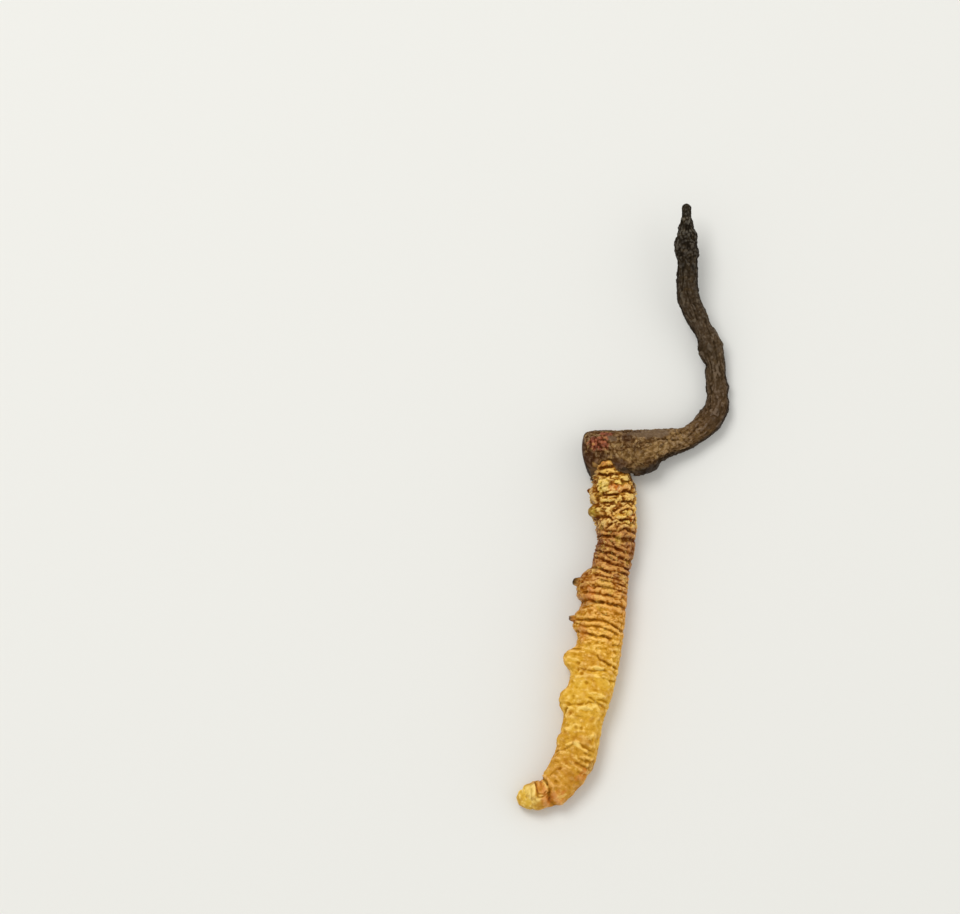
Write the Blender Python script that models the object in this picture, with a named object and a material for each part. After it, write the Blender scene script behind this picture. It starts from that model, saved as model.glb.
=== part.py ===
"""Dried cordyceps: a mummified larva with a dark fungus stalk grown out of its head.

It lies on its side on a flat surface. The larva runs along -Y from the head to the curled
tail, its belly and legs towards -X, and the stalk leaves the head towards +X and bends to +Y.
Written in millimetres here and turned into metres as the meshes are made. +Z is up and the
surface is at z = 0.
"""

import math

import bpy
import numpy as np
from mathutils import Vector, noise

MM = 0.001

# The middle of the object's outline on the surface, which becomes the origin
MIDDLE_X = -0.11
MIDDLE_Y = -0.25

# Larva: x, y and height of its axis, and its half width, from the head to the tail
LARVA_STATIONS = (
    (-2.21, 6.73, 2.60, 1.10),
    (-1.91, 5.46, 2.62, 1.62),
    (-1.47, 3.83, 2.65, 2.19),
    (-1.37, 2.47, 2.62, 2.75),
    (-1.31, 0.63, 2.62, 2.80),
    (-1.16, -1.25, 2.52, 2.72),
    (-1.12, -3.13, 2.45, 2.66),
    (-1.04, -4.62, 2.26, 2.42),
    (-1.30, -6.26, 2.26, 2.42),
    (-1.80, -7.91, 2.32, 2.51),
    (-2.36, -9.73, 2.49, 2.84),
    (-2.74, -13.50, 2.53, 2.89),
    (-3.12, -17.26, 2.47, 2.81),
    (-3.81, -21.02, 2.43, 2.79),
    (-4.69, -24.77, 2.39, 2.73),
    (-5.06, -26.49, 2.30, 2.51),
    (-5.81, -30.12, 2.22, 2.48),
    (-6.62, -32.11, 2.15, 2.36),
    (-7.86, -34.22, 1.98, 2.21),
    (-9.04, -35.57, 1.80, 1.97),
    (-9.92, -36.10, 1.50, 1.63),
    (-10.78, -36.30, 1.60, 1.81),
    (-11.72, -36.42, 1.50, 1.59),
    (-12.65, -36.58, 1.25, 1.15),
    (-13.27, -36.57, 1.15, 0.62),
    (-13.48, -36.57, 1.15, 0.25),
)
LARVA_FLATNESS = 0.94
LARVA_SIDES = 24

# Its skin lies in ring folds, tighter at the head end than at the tail
RING_PITCH_AT_HEAD = 0.90
RING_PITCH_AT_TAIL = 1.36
RING_DEPTH = 0.30
ROWS_PER_RING = 3

# Crusted part behind the head, full of small lumps: where it begins and ends along the body
CRUST_START = 3.0
CRUST_END = 9.1
CRUST_LUMP_SIZE = 1.1
CRUST_LUMP_HEIGHT = 0.45

# Belly legs: the pad's middle along the body, height and half length, then the tip's and reach
BELLY_LEGS = (
    (18.2, 1.00, 1.60, 17.6, 0.75),
    (22.2, 1.15, 1.42, 21.9, 0.40),
    (27.1, 1.15, 1.37, 27.0, 0.20),
    (32.4, 0.75, 1.32, 32.5, 0.10),
    (37.5, 0.30, 0.85, 37.5, 0.05),
)
LEG_ANGLES = (math.radians(165), math.radians(210))
LEG_HALF_ANGLE = 0.46
LEG_TIP_HALF_LENGTH = 0.45
LEG_TIP_HALF_ANGLE = 0.24

# Small chest legs behind the head: distance along the body, angle round it, and reach
CHEST_LEGS = ((5.3, math.radians(172), 0.55), (7.7, math.radians(162), 0.80))
CHEST_LEG_HALF_LENGTH = 0.60
CHEST_LEG_HALF_ANGLE = 0.26

# The rump's two lobes, beyond the last deep fold
RUMP_LOBES = ((46.1, math.radians(95), 0.22), (47.3, math.radians(5), 0.20))
RUMP_LOBE_HALF_LENGTH = 0.80
RUMP_LOBE_HALF_ANGLE = 0.70

# Stalk: x, y and height of its axis, and its half width, from the tip to the cap on the head
STALK_STATIONS = (
    (7.80, 37.62, 5.20, 0.25),
    (7.79, 37.06, 5.20, 0.60),
    (7.80, 36.06, 5.10, 0.70),
    (7.79, 35.06, 5.00, 0.92),
    (7.82, 33.83, 4.85, 1.22),
    (7.73, 32.59, 4.65, 1.44),
    (7.86, 31.49, 4.45, 1.47),
    (7.92, 30.37, 4.30, 1.34),
    (7.93, 28.78, 4.00, 1.37),
    (7.92, 26.94, 3.60, 1.45),
    (8.24, 25.36, 3.20, 1.53),
    (8.99, 23.90, 2.80, 1.53),
    (9.81, 22.32, 2.40, 1.50),
    (10.50, 20.98, 2.05, 1.55),
    (10.93, 19.62, 1.80, 1.55),
    (11.31, 18.15, 1.55, 1.45),
    (11.62, 15.12, 1.24, 1.45),
    (11.75, 13.35, 1.27, 1.52),
    (11.32, 11.78, 1.50, 1.60),
    (10.26, 10.39, 1.55, 1.66),
    (8.85, 9.29, 1.65, 1.60),
    (7.22, 8.32, 1.85, 1.62),
    (5.48, 7.91, 2.10, 1.85),
    (3.85, 7.44, 2.30, 2.15),
    (2.22, 6.97, 2.45, 2.45),
    (0.47, 6.78, 2.50, 2.62),
    (-1.53, 6.84, 2.50, 2.62),
    (-3.15, 6.89, 2.50, 2.55),
    (-4.30, 6.76, 2.50, 2.42),
    (-5.00, 6.68, 2.50, 2.00),
)
STALK_FLATNESS = 0.94
STALK_SIDES = 16
STALK_ROW_SPACING = 0.60

# Lengthwise wrinkles round the stalk
WRINKLE_COUNT = 5
WRINKLE_DEPTH = 0.09
WRINKLE_TURNS = 1.3

# Lumps on the stalk: distance from its tip, angle round it, height, half length and half angle.
# The last two are the cheek and the heel that hang down beside the larva's neck.
STALK_LUMPS = (
    (6.0, math.radians(170), 0.12, 0.80, 0.60),
    (17.5, math.radians(5), 0.25, 0.55, 0.35),
    (19.2, math.radians(175), 0.15, 0.80, 0.40),
    (23.1, math.radians(0), 0.15, 0.50, 0.35),
    (28.0, math.radians(180), 0.35, 0.45, 0.40),
    (44.0, math.radians(0), 1.50, 0.80, 0.55),
    (37.9, math.radians(5), 1.05, 1.35, 0.55),
)
LUMP_NOISE_SIZE = 1.6
LUMP_NOISE_HEIGHT = 0.12

# The pocket in the cap that the head sits in
POCKET_GAP = 0.42
POCKET_LENGTH = 9.0
POCKET_SIDES = 16
POCKET_ROW_SPACING = 0.9

LARVA_COLOUR = (0.56, 0.30, 0.07, 1.0)
STALK_COLOUR = (0.10, 0.07, 0.045, 1.0)


def clear_scene():
    for thing in list(bpy.data.objects):
        bpy.data.objects.remove(thing, do_unlink=True)


def distances_along(stations):
    """How far along the axis each station is."""
    points = np.array(stations)[:, :3]
    steps = np.linalg.norm(np.diff(points, axis=0), axis=1)
    return np.concatenate([[0.0], np.cumsum(steps)])


LARVA_LENGTH = distances_along(LARVA_STATIONS)[-1]
STALK_LENGTH = distances_along(STALK_STATIONS)[-1]


def curve_through(stations, places):
    """The axis and half width at these distances, on a smooth curve through the stations."""
    values = np.array(stations)
    at = distances_along(stations)
    slopes = np.gradient(values, at, axis=0)
    places = np.clip(places, 0.0, at[-1])
    index = np.clip(np.searchsorted(at, places, side="right") - 1, 0, len(at) - 2)
    gap = (at[index + 1] - at[index])[:, None]
    t = (places - at[index])[:, None] / gap
    start, end = values[index], values[index + 1]
    from_start = (2 * t**3 - 3 * t**2 + 1) * start + (t**3 - 2 * t**2 + t) * gap * slopes[index]
    from_end = (3 * t**2 - 2 * t**3) * end + (t**3 - t**2) * gap * slopes[index + 1]
    return from_start + from_end


def bump(offset, half_length):
    """1 at the middle, falling smoothly to nothing past the half length."""
    return math.exp(-((offset / half_length) ** 2))


def pad(offset, half_length):
    """Like a bump, with a flatter top and steeper ends."""
    return math.exp(-((offset / half_length) ** 4))


def turned(angle, middle):
    """The angle from middle, between -180 and 180 degrees."""
    return math.remainder(angle - middle, math.tau)


def tube_point(axis, side, across, rise, angle):
    """A point of a tube's skin, no lower than the surface that it lies on."""
    x, y, z = axis
    x += side[0] * across * math.cos(angle)
    y += side[1] * across * math.cos(angle)
    z += rise * math.sin(angle)
    return Vector((x - MIDDLE_X, y - MIDDLE_Y, max(z, 0.0))) * MM


def tube_mesh(name, stations, places, sides, flatness, relief):
    """A closed tube round the stations' curve. relief gives how far the skin stands out."""
    rows = curve_through(stations, places)
    tangents = np.gradient(rows[:, :2], axis=0)
    tangents /= np.linalg.norm(tangents, axis=1)[:, None]
    points = []
    for place, (x, y, z, half), (along_x, along_y) in zip(places, rows, tangents):
        side = (-along_y, along_x)
        for number in range(sides):
            angle = math.tau * number / sides
            out = relief(place, angle)
            points.append(
                tube_point((x, y, z), side, half + out, half * flatness + out, angle)
            )
    faces = []
    for row in range(len(places) - 1):
        for number in range(sides):
            after = (number + 1) % sides
            here, there = row * sides, (row + 1) * sides
            faces.append((here + number, here + after, there + after, there + number))
    faces.append(tuple(range(sides - 1, -1, -1)))
    last = (len(places) - 1) * sides
    faces.append(tuple(range(last, last + sides)))
    mesh = bpy.data.meshes.new(name)
    mesh.from_pydata(points, [], faces)
    mesh.validate()
    return mesh


def add_object(name, mesh):
    made = bpy.data.objects.new(name, mesh)
    bpy.context.scene.collection.objects.link(made)
    return made


def finish(made, colour, roughness):
    """Gives a piece its own material and smooth shading."""
    material = bpy.data.materials.new(made.name)
    material.use_nodes = True
    shader = material.node_tree.nodes["Principled BSDF"]
    shader.inputs["Base Color"].default_value = colour
    shader.inputs["Roughness"].default_value = roughness
    shader.inputs["Metallic"].default_value = 0.0
    made.data.materials.append(material)
    made.data.shade_smooth()
    made.data.set_sharp_from_angle(angle=math.radians(50))


RING_GROWTH = (RING_PITCH_AT_TAIL - RING_PITCH_AT_HEAD) / LARVA_LENGTH


def rings_before(place):
    """How many ring folds lie between the head and this distance along the body."""
    return math.log1p(RING_GROWTH * place / RING_PITCH_AT_HEAD) / RING_GROWTH


def ring_place(count):
    """The distance along the body at which this many ring folds have passed."""
    return math.expm1(RING_GROWTH * count) * RING_PITCH_AT_HEAD / RING_GROWTH


def larva_rows():
    """Distances along the body: one row in each fold's groove, and the others on its crest."""
    count = int(rings_before(LARVA_LENGTH) * ROWS_PER_RING)
    rows = [ring_place(number / ROWS_PER_RING) for number in range(count)]
    inner = [row for row in rows if row > POCKET_GAP + 0.1]
    return np.array([POCKET_GAP] + inner + [LARVA_LENGTH])


def crust_share(place):
    """1 in the crusted part, falling to 0 before and after it."""
    begun = 1.0 / (1.0 + math.exp((CRUST_START - place) / 0.25))
    return begun / (1.0 + math.exp((place - CRUST_END) / 0.7))


def leg_relief(place, angle):
    """The pads and tips of the belly legs, and the chest legs."""
    relief = 0.0
    for middle, height, half_length, tip_middle, tip_reach in BELLY_LEGS:
        for leg_angle in LEG_ANGLES:
            off = turned(angle, leg_angle)
            relief += height * pad(place - middle, half_length) * bump(off, LEG_HALF_ANGLE)
            tip = pad(place - tip_middle, LEG_TIP_HALF_LENGTH) * bump(off, LEG_TIP_HALF_ANGLE)
            relief += tip_reach * tip
    for middle, leg_angle, reach in CHEST_LEGS:
        across = bump(turned(angle, leg_angle), CHEST_LEG_HALF_ANGLE)
        relief += reach * pad(place - middle, CHEST_LEG_HALF_LENGTH) * across
    return relief


def larva_relief(place, angle):
    """Ring folds, crust lumps, legs and rump lobes."""
    around = Vector((math.cos(angle), math.sin(angle), 0.0))
    rings = rings_before(place) % 1.0
    in_groove = min(rings, 1.0 - rings) < 0.5 / ROWS_PER_RING
    strength = 0.55 + 0.6 * noise.noise(around * 1.3 + Vector((0, 0, place * 0.55)))
    relief = -RING_DEPTH * max(strength, 0.1) if in_groove else 0.0
    lump_at = around * (2.6 / CRUST_LUMP_SIZE) + Vector((0, 0, place / CRUST_LUMP_SIZE))
    relief += CRUST_LUMP_HEIGHT * crust_share(place) * noise.noise(lump_at)
    for middle, lobe_angle, height in RUMP_LOBES:
        across = bump(turned(angle, lobe_angle), RUMP_LOBE_HALF_ANGLE)
        relief += height * bump(place - middle, RUMP_LOBE_HALF_LENGTH) * across
    return relief + leg_relief(place, angle)


def make_larva():
    mesh = tube_mesh(
        "larva",
        LARVA_STATIONS,
        larva_rows(),
        LARVA_SIDES,
        LARVA_FLATNESS,
        larva_relief,
    )
    made = add_object("larva", mesh)
    finish(made, LARVA_COLOUR, 0.62)
    return made


def stalk_relief(place, angle):
    """Lengthwise wrinkles, an uneven skin, and the lumps."""
    turn = WRINKLE_TURNS * math.tau * place / STALK_LENGTH
    fade = min(place / 4.0, 1.0)
    relief = WRINKLE_DEPTH * fade * math.cos(WRINKLE_COUNT * angle + turn)
    around = Vector((math.cos(angle), math.sin(angle), place / LUMP_NOISE_SIZE))
    relief += LUMP_NOISE_HEIGHT * fade * noise.noise(around)
    for middle, lump_angle, height, half_length, half_angle in STALK_LUMPS:
        across = bump(turned(angle, lump_angle), half_angle)
        relief += height * bump(place - middle, half_length) * across
    return relief


def make_head_pocket():
    """A cutter: the plain front of the larva, larger by the gap all round."""
    places = np.arange(0.0, POCKET_LENGTH, POCKET_ROW_SPACING)
    mesh = tube_mesh(
        "head_pocket_cutter",
        LARVA_STATIONS,
        places,
        POCKET_SIDES,
        LARVA_FLATNESS,
        lambda place, angle: POCKET_GAP,
    )
    cutter = add_object("head_pocket_cutter", mesh)
    cutter.hide_render = True
    cutter.display_type = "WIRE"
    return cutter


def make_stalk(pocket):
    count = round(STALK_LENGTH / STALK_ROW_SPACING)
    mesh = tube_mesh(
        "stalk",
        STALK_STATIONS,
        np.linspace(0.0, STALK_LENGTH, count),
        STALK_SIDES,
        STALK_FLATNESS,
        stalk_relief,
    )
    made = add_object("stalk", mesh)
    cut = made.modifiers.new("head pocket", "BOOLEAN")
    cut.operation = "DIFFERENCE"
    cut.object = pocket
    finish(made, STALK_COLOUR, 0.75)
    return made


def main():
    clear_scene()
    make_larva()
    make_stalk(make_head_pocket())


main()
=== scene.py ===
"""A dried cordyceps: the ringed golden larva and the dark fungus stalk on its head.

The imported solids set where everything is. This script lays a finer skin over each of them, on the
same axes and half widths as the solids, and adds the folds, crust, grain, fibres and colours.
Lengths are in millimetres until a mesh is made. Calls of cloud, grains and patches end with their
seed, and calls of rough with their seed and number of layers.
"""

import itertools
import math

import bpy
import numpy as np
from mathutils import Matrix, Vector


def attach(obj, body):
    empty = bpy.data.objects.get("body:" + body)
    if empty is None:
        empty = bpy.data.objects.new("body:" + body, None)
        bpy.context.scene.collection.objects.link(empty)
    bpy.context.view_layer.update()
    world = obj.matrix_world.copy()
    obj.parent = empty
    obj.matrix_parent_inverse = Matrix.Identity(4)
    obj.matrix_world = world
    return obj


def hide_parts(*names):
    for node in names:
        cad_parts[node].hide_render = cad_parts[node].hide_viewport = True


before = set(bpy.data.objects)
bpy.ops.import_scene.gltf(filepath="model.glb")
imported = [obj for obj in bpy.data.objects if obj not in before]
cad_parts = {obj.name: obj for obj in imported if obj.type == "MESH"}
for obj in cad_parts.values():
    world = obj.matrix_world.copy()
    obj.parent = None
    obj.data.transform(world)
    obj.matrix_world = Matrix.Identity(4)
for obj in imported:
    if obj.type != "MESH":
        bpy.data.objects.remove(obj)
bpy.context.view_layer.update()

MM = 0.001
FAR = 9.0  # further than anything that is looked for

# The middle of the object's outline on the surface, as in the solids
MIDDLE = np.array([-0.11, -0.25, 0.0])

# Larva: x, y and height of its axis, and its half width, from the head to the tail
LARVA_STATIONS = (
    (-2.21, 6.73, 2.6, 1.1), (-1.91, 5.46, 2.62, 1.62), (-1.47, 3.83, 2.65, 2.19),
    (-1.37, 2.47, 2.62, 2.75), (-1.31, 0.63, 2.62, 2.8), (-1.16, -1.25, 2.52, 2.72),
    (-1.12, -3.13, 2.45, 2.66), (-1.04, -4.62, 2.26, 2.42), (-1.3, -6.26, 2.26, 2.42),
    (-1.8, -7.91, 2.32, 2.51), (-2.36, -9.73, 2.49, 2.84), (-2.74, -13.5, 2.53, 2.89),
    (-3.12, -17.26, 2.47, 2.81), (-3.81, -21.02, 2.43, 2.79), (-4.69, -24.77, 2.39, 2.73),
    (-5.06, -26.49, 2.3, 2.51), (-5.81, -30.12, 2.22, 2.48), (-6.62, -32.11, 2.15, 2.36),
    (-7.86, -34.22, 1.98, 2.21), (-9.04, -35.57, 1.8, 1.97), (-9.92, -36.1, 1.5, 1.63),
    (-10.78, -36.3, 1.6, 1.81), (-11.72, -36.42, 1.5, 1.59), (-12.65, -36.58, 1.25, 1.15),
    (-13.27, -36.57, 1.15, 0.62), (-13.48, -36.57, 1.15, 0.25),
)
LARVA_ROWS = 700
LARVA_COLUMNS = 132
LARVA_END_RADII = (0.35, 0.35)

# Folds right round the larva: depth, half width, and for each point of the fold its angle and its
# distance along the body
RINGS = (
    (0.4, 0.15, (27, 11.4, 59, 11.4, 88, 11.3, 102, 11, 122, 10.9, 144, 10.7, 250, 11.1)),
    (0.34, 0.13, (23, 13.5, 53, 13.6, 75, 13.6, 94, 13.3, 120, 13.4, 150, 13.2, 260, 13.3)),
    (0.34, 0.13, (28, 14.5, 61, 14.5, 87, 14.6, 104, 14.5, 126, 14.3, 250, 14.3)),
    (0.4, 0.14, (20, 15.1, 52, 15.2, 73, 15.4, 89, 15.7, 117, 15.6, 150, 15.7, 250, 15.3)),
    (0.46, 0.16, (5, 20, 60, 19.8, 97, 19.6, 114, 19.6, 131, 19.3, 151, 19.5, 250, 19.7)),
    (0.3, 0.13, (18, 22.8, 35, 22.7, 54, 22.4, 71, 22.1, 93, 21.9, 114, 21.9, 250, 22.2)),
    (0.16, 0.15, (25, 32.4, 64, 32.2, 84, 32.2, 91, 32.6, 106, 32.7, 135, 33, 250, 32.8)),
    (0.55, 0.18, (0, 44.6, 35, 44.8, 66, 44.7, 89, 44.3, 112, 44.1, 139, 44, 250, 44.3)),
)

# Shorter folds across the body, listed the same way
CREASES = (
    (0.32, 0.12, (82, 2.3, 109, 2.2, 134, 2)), (0.4, 0.14, (74, 3.3, 108, 3.4, 140, 2.9)),
    (0.22, 0.12, (34, 5.6, 60, 5.5, 74, 5.6)), (0.16, 0.11, (87, 7, 98, 6.9, 117, 6.8, 143, 6.7)),
    (0.3, 0.13, (128, 8.6, 145, 8.8, 185, 8.6)),
    (0.28, 0.12, (-10, 8.8, 13, 8.8, 62, 9, 83, 9.2, 105, 9.7, 134, 9.8)),
    (0.28, 0.12, (5, 10.7, 17, 10.7, 54, 10.4, 60, 10.1, 80, 10.4, 104, 10.5, 133, 10.1)),
    (0.22, 0.12, (28, 12.7, 55, 12.8, 78, 12.6, 102, 12.4, 126, 12.3, 160, 12.2)),
    (0.2, 0.11, (85, 12.6, 97, 12.1, 110, 11.6)), (0.14, 0.11, (35, 14, 70, 14.1, 100, 13.9)),
    (0.2, 0.12, (60, 16.3, 90, 16.4, 125, 16.5)),
    (0.24, 0.12, (20, 17, 66, 16.9, 81, 16.9, 103, 16.9)),
    (0.28, 0.12, (-10, 18.1, 42, 18, 79, 17.7, 109, 17.7, 124, 17.8, 150, 17.9)),
    (0.28, 0.13, (62, 18.9, 77, 18.7, 98, 18.7, 113, 18.5, 140, 18.4)),
    (0.16, 0.12, (73, 21.3, 87, 21.2, 96, 20.8)), (0.13, 0.12, (10, 21.8, 58, 21.9)),
    (0.3, 0.12, (118, 22.7, 134, 22.8, 170, 22.2)),
    (0.22, 0.12, (44, 23.3, 69, 23, 90, 22.8, 113, 22.6)),
    (0.34, 0.13, (62, 24, 85, 23.85, 101, 23.9, 116, 23.8, 170, 23.4)),
    (0.16, 0.12, (20, 24.6, 50, 24.7)), (0.18, 0.12, (143, 25.8, 166, 25.9)),
    (0.28, 0.13, (10, 27.3, 38, 27.2, 56, 27, 72, 26.8, 81, 26.8, 89, 26.4)),
    (0.2, 0.14, (56, 28, 67, 28, 89, 28.3, 106, 28.4, 125, 28.3)),
    (0.2, 0.13, (0, 28.7, 40, 29, 66, 28.8)),
    (0.13, 0.14, (23, 31.6, 49, 31.6, 69, 31.7, 86, 31.7)),
    (0.34, 0.14, (145, 33.4, 152, 33.7, 170, 34.4)), (0.12, 0.14, (98, 34.2, 119, 34.2)),
    (0.12, 0.14, (30, 37.8, 54, 37.8, 72, 37.7, 84, 37.5)),
    (0.12, 0.14, (104, 37.9, 116, 38.4, 131, 39, 160, 39.5)), (0.13, 0.12, (5, 38.2, 61, 38.4)),
    (0.13, 0.12, (-10, 38.9, 45, 39)), (0.12, 0.12, (43, 39.2, 69, 39.2)),
    (0.15, 0.13, (-10, 39.6, 50, 39.8, 71, 39.8)), (0.1, 0.12, (0, 40.4, 50, 40.6)),
    (0.16, 0.12, (82, 45.9, 111, 45.9, 153, 45.8)),
)

# Folds on the side that it lies on: distance along the body, depth and half width
HIDDEN_FOLDS = (
    (3.4, 0.26, 0.13), (5.8, 0.3, 0.14), (7.2, 0.22, 0.12), (9, 0.26, 0.12), (10.1, 0.24, 0.12),
    (12.2, 0.26, 0.12), (16.6, 0.2, 0.12), (17.6, 0.26, 0.12), (18.7, 0.24, 0.12),
    (21.1, 0.14, 0.12), (23.6, 0.34, 0.14), (25, 0.14, 0.12), (26.4, 0.2, 0.12),
    (28.2, 0.26, 0.13), (29.8, 0.12, 0.12), (31.2, 0.14, 0.12), (34.6, 0.12, 0.12),
    (36.6, 0.14, 0.12), (37.9, 0.24, 0.13), (39.3, 0.2, 0.12), (40.6, 0.16, 0.12),
    (42.4, 0.12, 0.13), (46, 0.14, 0.12),
)

# Creases that follow points on the skin (ridges, where the depth is negative): depth, half width,
# and for each point its distance along the body and its angle
LINES = (
    (-0.34, 0.26, (1.53, 120, 1.62, 106, 1.6, 92)),
    (-0.32, 0.22, (2.54, 124, 2.5, 108, 2.92, 88)), (-0.2, 0.2, (2.02, 156, 2.75, 146)),
    (-0.38, 0.3, (4.97, 156, 5.7, 156, 6.53, 146)),
    (-0.14, 0.12, (4.8, 139, 3.95, 125, 3.85, 105, 4.1, 92)),
    (-0.2, 0.13, (6.19, 127, 6.6, 109, 6.57, 91)), (-0.16, 0.12, (6.08, 112, 6.19, 95)),
    (-0.24, 0.14, (7.47, 128, 8.17, 124)),
    (-0.26, 0.15, (8.31, 94, 7.78, 76, 7.51, 55, 7.75, 29)),
    (0.26, 0.1, (5.86, 120, 5.98, 95, 5.84, 80)), (0.2, 0.09, (5.49, 135, 4.8, 139)),
    (0.22, 0.1, (6.85, 72, 6.85, 30)), (0.2, 0.1, (8.48, 123, 8.79, 103)),
    (-0.12, 0.15, (28.4, 112, 27.76, 90, 27.87, 66, 27.97, 47)),
    (-0.08, 0.22, (29.5, 139, 29.02, 96, 28.84, 64, 29.05, 43)),
    (-0.1, 0.16, (31.17, 87, 30.89, 70, 31.1, 44)),
    (0.12, 0.13, (31.66, 85, 31.97, 67, 32.25, 42)),
    (-0.14, 0.18, (33.19, 105, 32.85, 89, 33.15, 72)), (-0.12, 0.22, (38.09, 119, 37.36, 91)),
    (-0.12, 0.2, (37.2, 99, 37.81, 89, 38.05, 84, 37.98, 55)), (-0.1, 0.2, (39.4, 147, 39, 128)),
    (0.06, 0.12, (41.28, 108, 42.15, 123, 42.81, 126)),
    (0.16, 0.12, (46, 75, 45.3, 74, 44.7, 82)),
    (0.18, 0.1, (46.05, 150, 45.95, 118, 45.85, 88, 45.2, 84, 44.8, 92)),
    (0.1, 0.1, (46.63, 115, 46.7, 90, 46.77, 67)),
)

# Small pits: distance along the body, angle and depth, and the half width of them all
PITS = (
    (27.7, 135, 0.24), (28.5, 134, 0.24), (28.9, 122, 0.2), (30, 102, 0.24), (31.9, 130, 0.14),
    (32.9, 140, 0.22), (34, 135, 0.22), (35.6, 108, 0.2), (35.6, 91, 0.3), (41.4, 109, 0.22),
    (43, 96, 0.14), (47.3, 86, 0.18), (30.1, 75, 0.1), (33.6, 70, 0.1), (21, 80, 0.12),
)
PIT_WIDTH = 0.2

# How wide a crease's dark colour (partly its own, partly painted shade) is, and how much of a
# fold's listed depth its skin takes
CREASE_WIDTH = 0.09
FOLD_SHARE = 0.8

# Lumps of crust on the neck and behind it, by their colours: distance along the body, angle, half
# length, half width and height
TINTS = {"orange": 0, "brown": 0.2, "tan": 0.4, "gold": 0.6, "pale": 0.8, "olive": 1}
NODULES = {
    "tan": (
        (2.15, 150, 0.5, 0.5, 0.62), (3, 156, 0.46, 0.55, 0.6), (5.58, 88, 0.26, 0.8, 0.36),
        (3.65, 128, 0.32, 0.5, 0.3), (3.55, 88, 0.25, 0.6, 0.26), (7.58, 107, 0.36, 0.46, 0.24),
        (6.9, 123, 0.34, 0.34, 0.26), (7.2, 64, 0.36, 0.6, 0.26), (7.96, 112, 0.42, 0.52, 0.26),
        (9.31, 117, 0.52, 0.7, 0.38), (9.35, 88, 0.26, 0.9, 0.24), (10, 99, 0.38, 0.52, 0.22),
        (9.7, 12, 0.4, 0.5, 0.26),
    ),
    "olive": (
        (4.73, 115, 0.92, 1.02, 0.44), (3.89, 54, 0.42, 0.8, 0.42), (10, 35, 0.6, 0.44, 0.26),
    ),
    "pale": (
        (4.2, 117, 0.36, 0.7, 0.46), (4.48, 78, 0.32, 0.52, 0.36), (6.36, 76, 0.3, 0.32, 0.34),
        (6.74, 84, 0.28, 0.32, 0.32), (6.55, 108, 0.36, 1, 0.24), (8.25, 55, 0.42, 0.8, 0.36),
        (9.24, 56, 0.3, 0.36, 0.24),
    ),
    "orange": (
        (5, 93, 0.6, 0.5, 0.46), (5.18, 77, 0.52, 0.55, 0.44), (4.9, 57, 0.46, 0.72, 0.44),
        (8.7, 38, 0.44, 0.6, 0.3),
    ),
    "gold": (
        (5.75, 150, 0.9, 0.46, 0.34), (6.19, 48, 0.62, 0.84, 0.52), (7.7, 30, 0.4, 0.6, 0.32),
        (8.62, 78, 0.4, 0.9, 0.32), (6.8, 12, 0.5, 0.6, 0.3),
    ),
    "brown": (
        (7.4, 88, 0.6, 0.9, 0.24), (9.9, 66, 0.44, 0.82, 0.24), (5, 20, 0.5, 0.6, 0.26),
    ),
}

# How much wider than listed they are
NODULE_SPREAD = 1.1

# The two round chest legs on each side, listed the same way
CHEST_LEGS = {
    "olive": ((7.72, 147, 0.92, 1.14, 1.14), (7.7, 212, 0.62, 0.6, 0.8)),
    "brown": ((5.05, 174, 0.36, 0.36, 0.64),),
    "tan": ((5.3, 214, 0.42, 0.4, 0.6),),
}

# Patches of another colour: distance along the body, angle, half length and half width
ORANGE_PATCHES = (
    (45.3, 112, 0.65, 0.95), (45.1, 46, 0.55, 0.75), (44, 50, 0.8, 0.9), (41.2, 43, 0.4, 0.35),
    (21.75, 172, 0.45, 0.55), (23.6, 140, 1.2, 0.7), (40.6, 30, 0.8, 0.6), (18.7, 125, 1, 0.7),
    (5.05, 92, 0.5, 0.55), (5.15, 77, 0.45, 0.55), (4.95, 57, 0.35, 0.6), (1.55, 112, 0.25, 0.5),
)
PALE_PATCHES = (
    (46.8, 110, 0.7, 1.1), (46.4, 62, 0.55, 0.6), (33.1, 90, 0.28, 0.8), (27.9, 80, 0.22, 0.9),
    (37.7, 92, 0.3, 0.6), (17.35, 172, 0.36, 0.36),
)
DARK_PATCHES = (
    (19.75, 110, 0.22, 1.9), (20, 145, 0.35, 0.8), (12.3, 140, 1.2, 1), (11.4, 60, 0.5, 1),
    (13.3, 20, 1.6, 0.7), (4.3, 14, 1.7, 0.7), (2.2, 150, 0.9, 0.7), (16, 60, 0.5, 0.8),
    (39.5, 20, 0.9, 0.5),
)
# The dark strip on the neck's right, beside the cap's edge
NECK_PATCH = (4.2, 14, 1.3, 0.95)

# Pads of the belly legs: their middle along the body, height and half length. Their angles are
# in degrees, their half angle in radians.
LEG_PADS = (
    (17.8, 0.48, 1.3), (22.1, 0.68, 1.3), (27.1, 1.15, 1.37), (32.4, 0.75, 1.32),
    (37.5, 0.3, 0.85),
)
LEG_ANGLES = (165, 210)
LEG_HALF_ANGLE = 0.46

# The legs' tips: distance along the body, angle, half length, half width and height
LEG_TIPS = (
    (17.35, 172, 0.42, 0.4, 0.74), (21.7, 176, 0.42, 0.4, 0.6), (27, 172, 0.46, 0.4, 0.14),
    (32.5, 168, 0.4, 0.36, 0.1), (17.4, 212, 0.56, 0.46, 0.55), (21.8, 212, 0.5, 0.44, 0.42),
    (27, 212, 0.46, 0.4, 0.24), (32.5, 210, 0.4, 0.36, 0.16),
)

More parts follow.
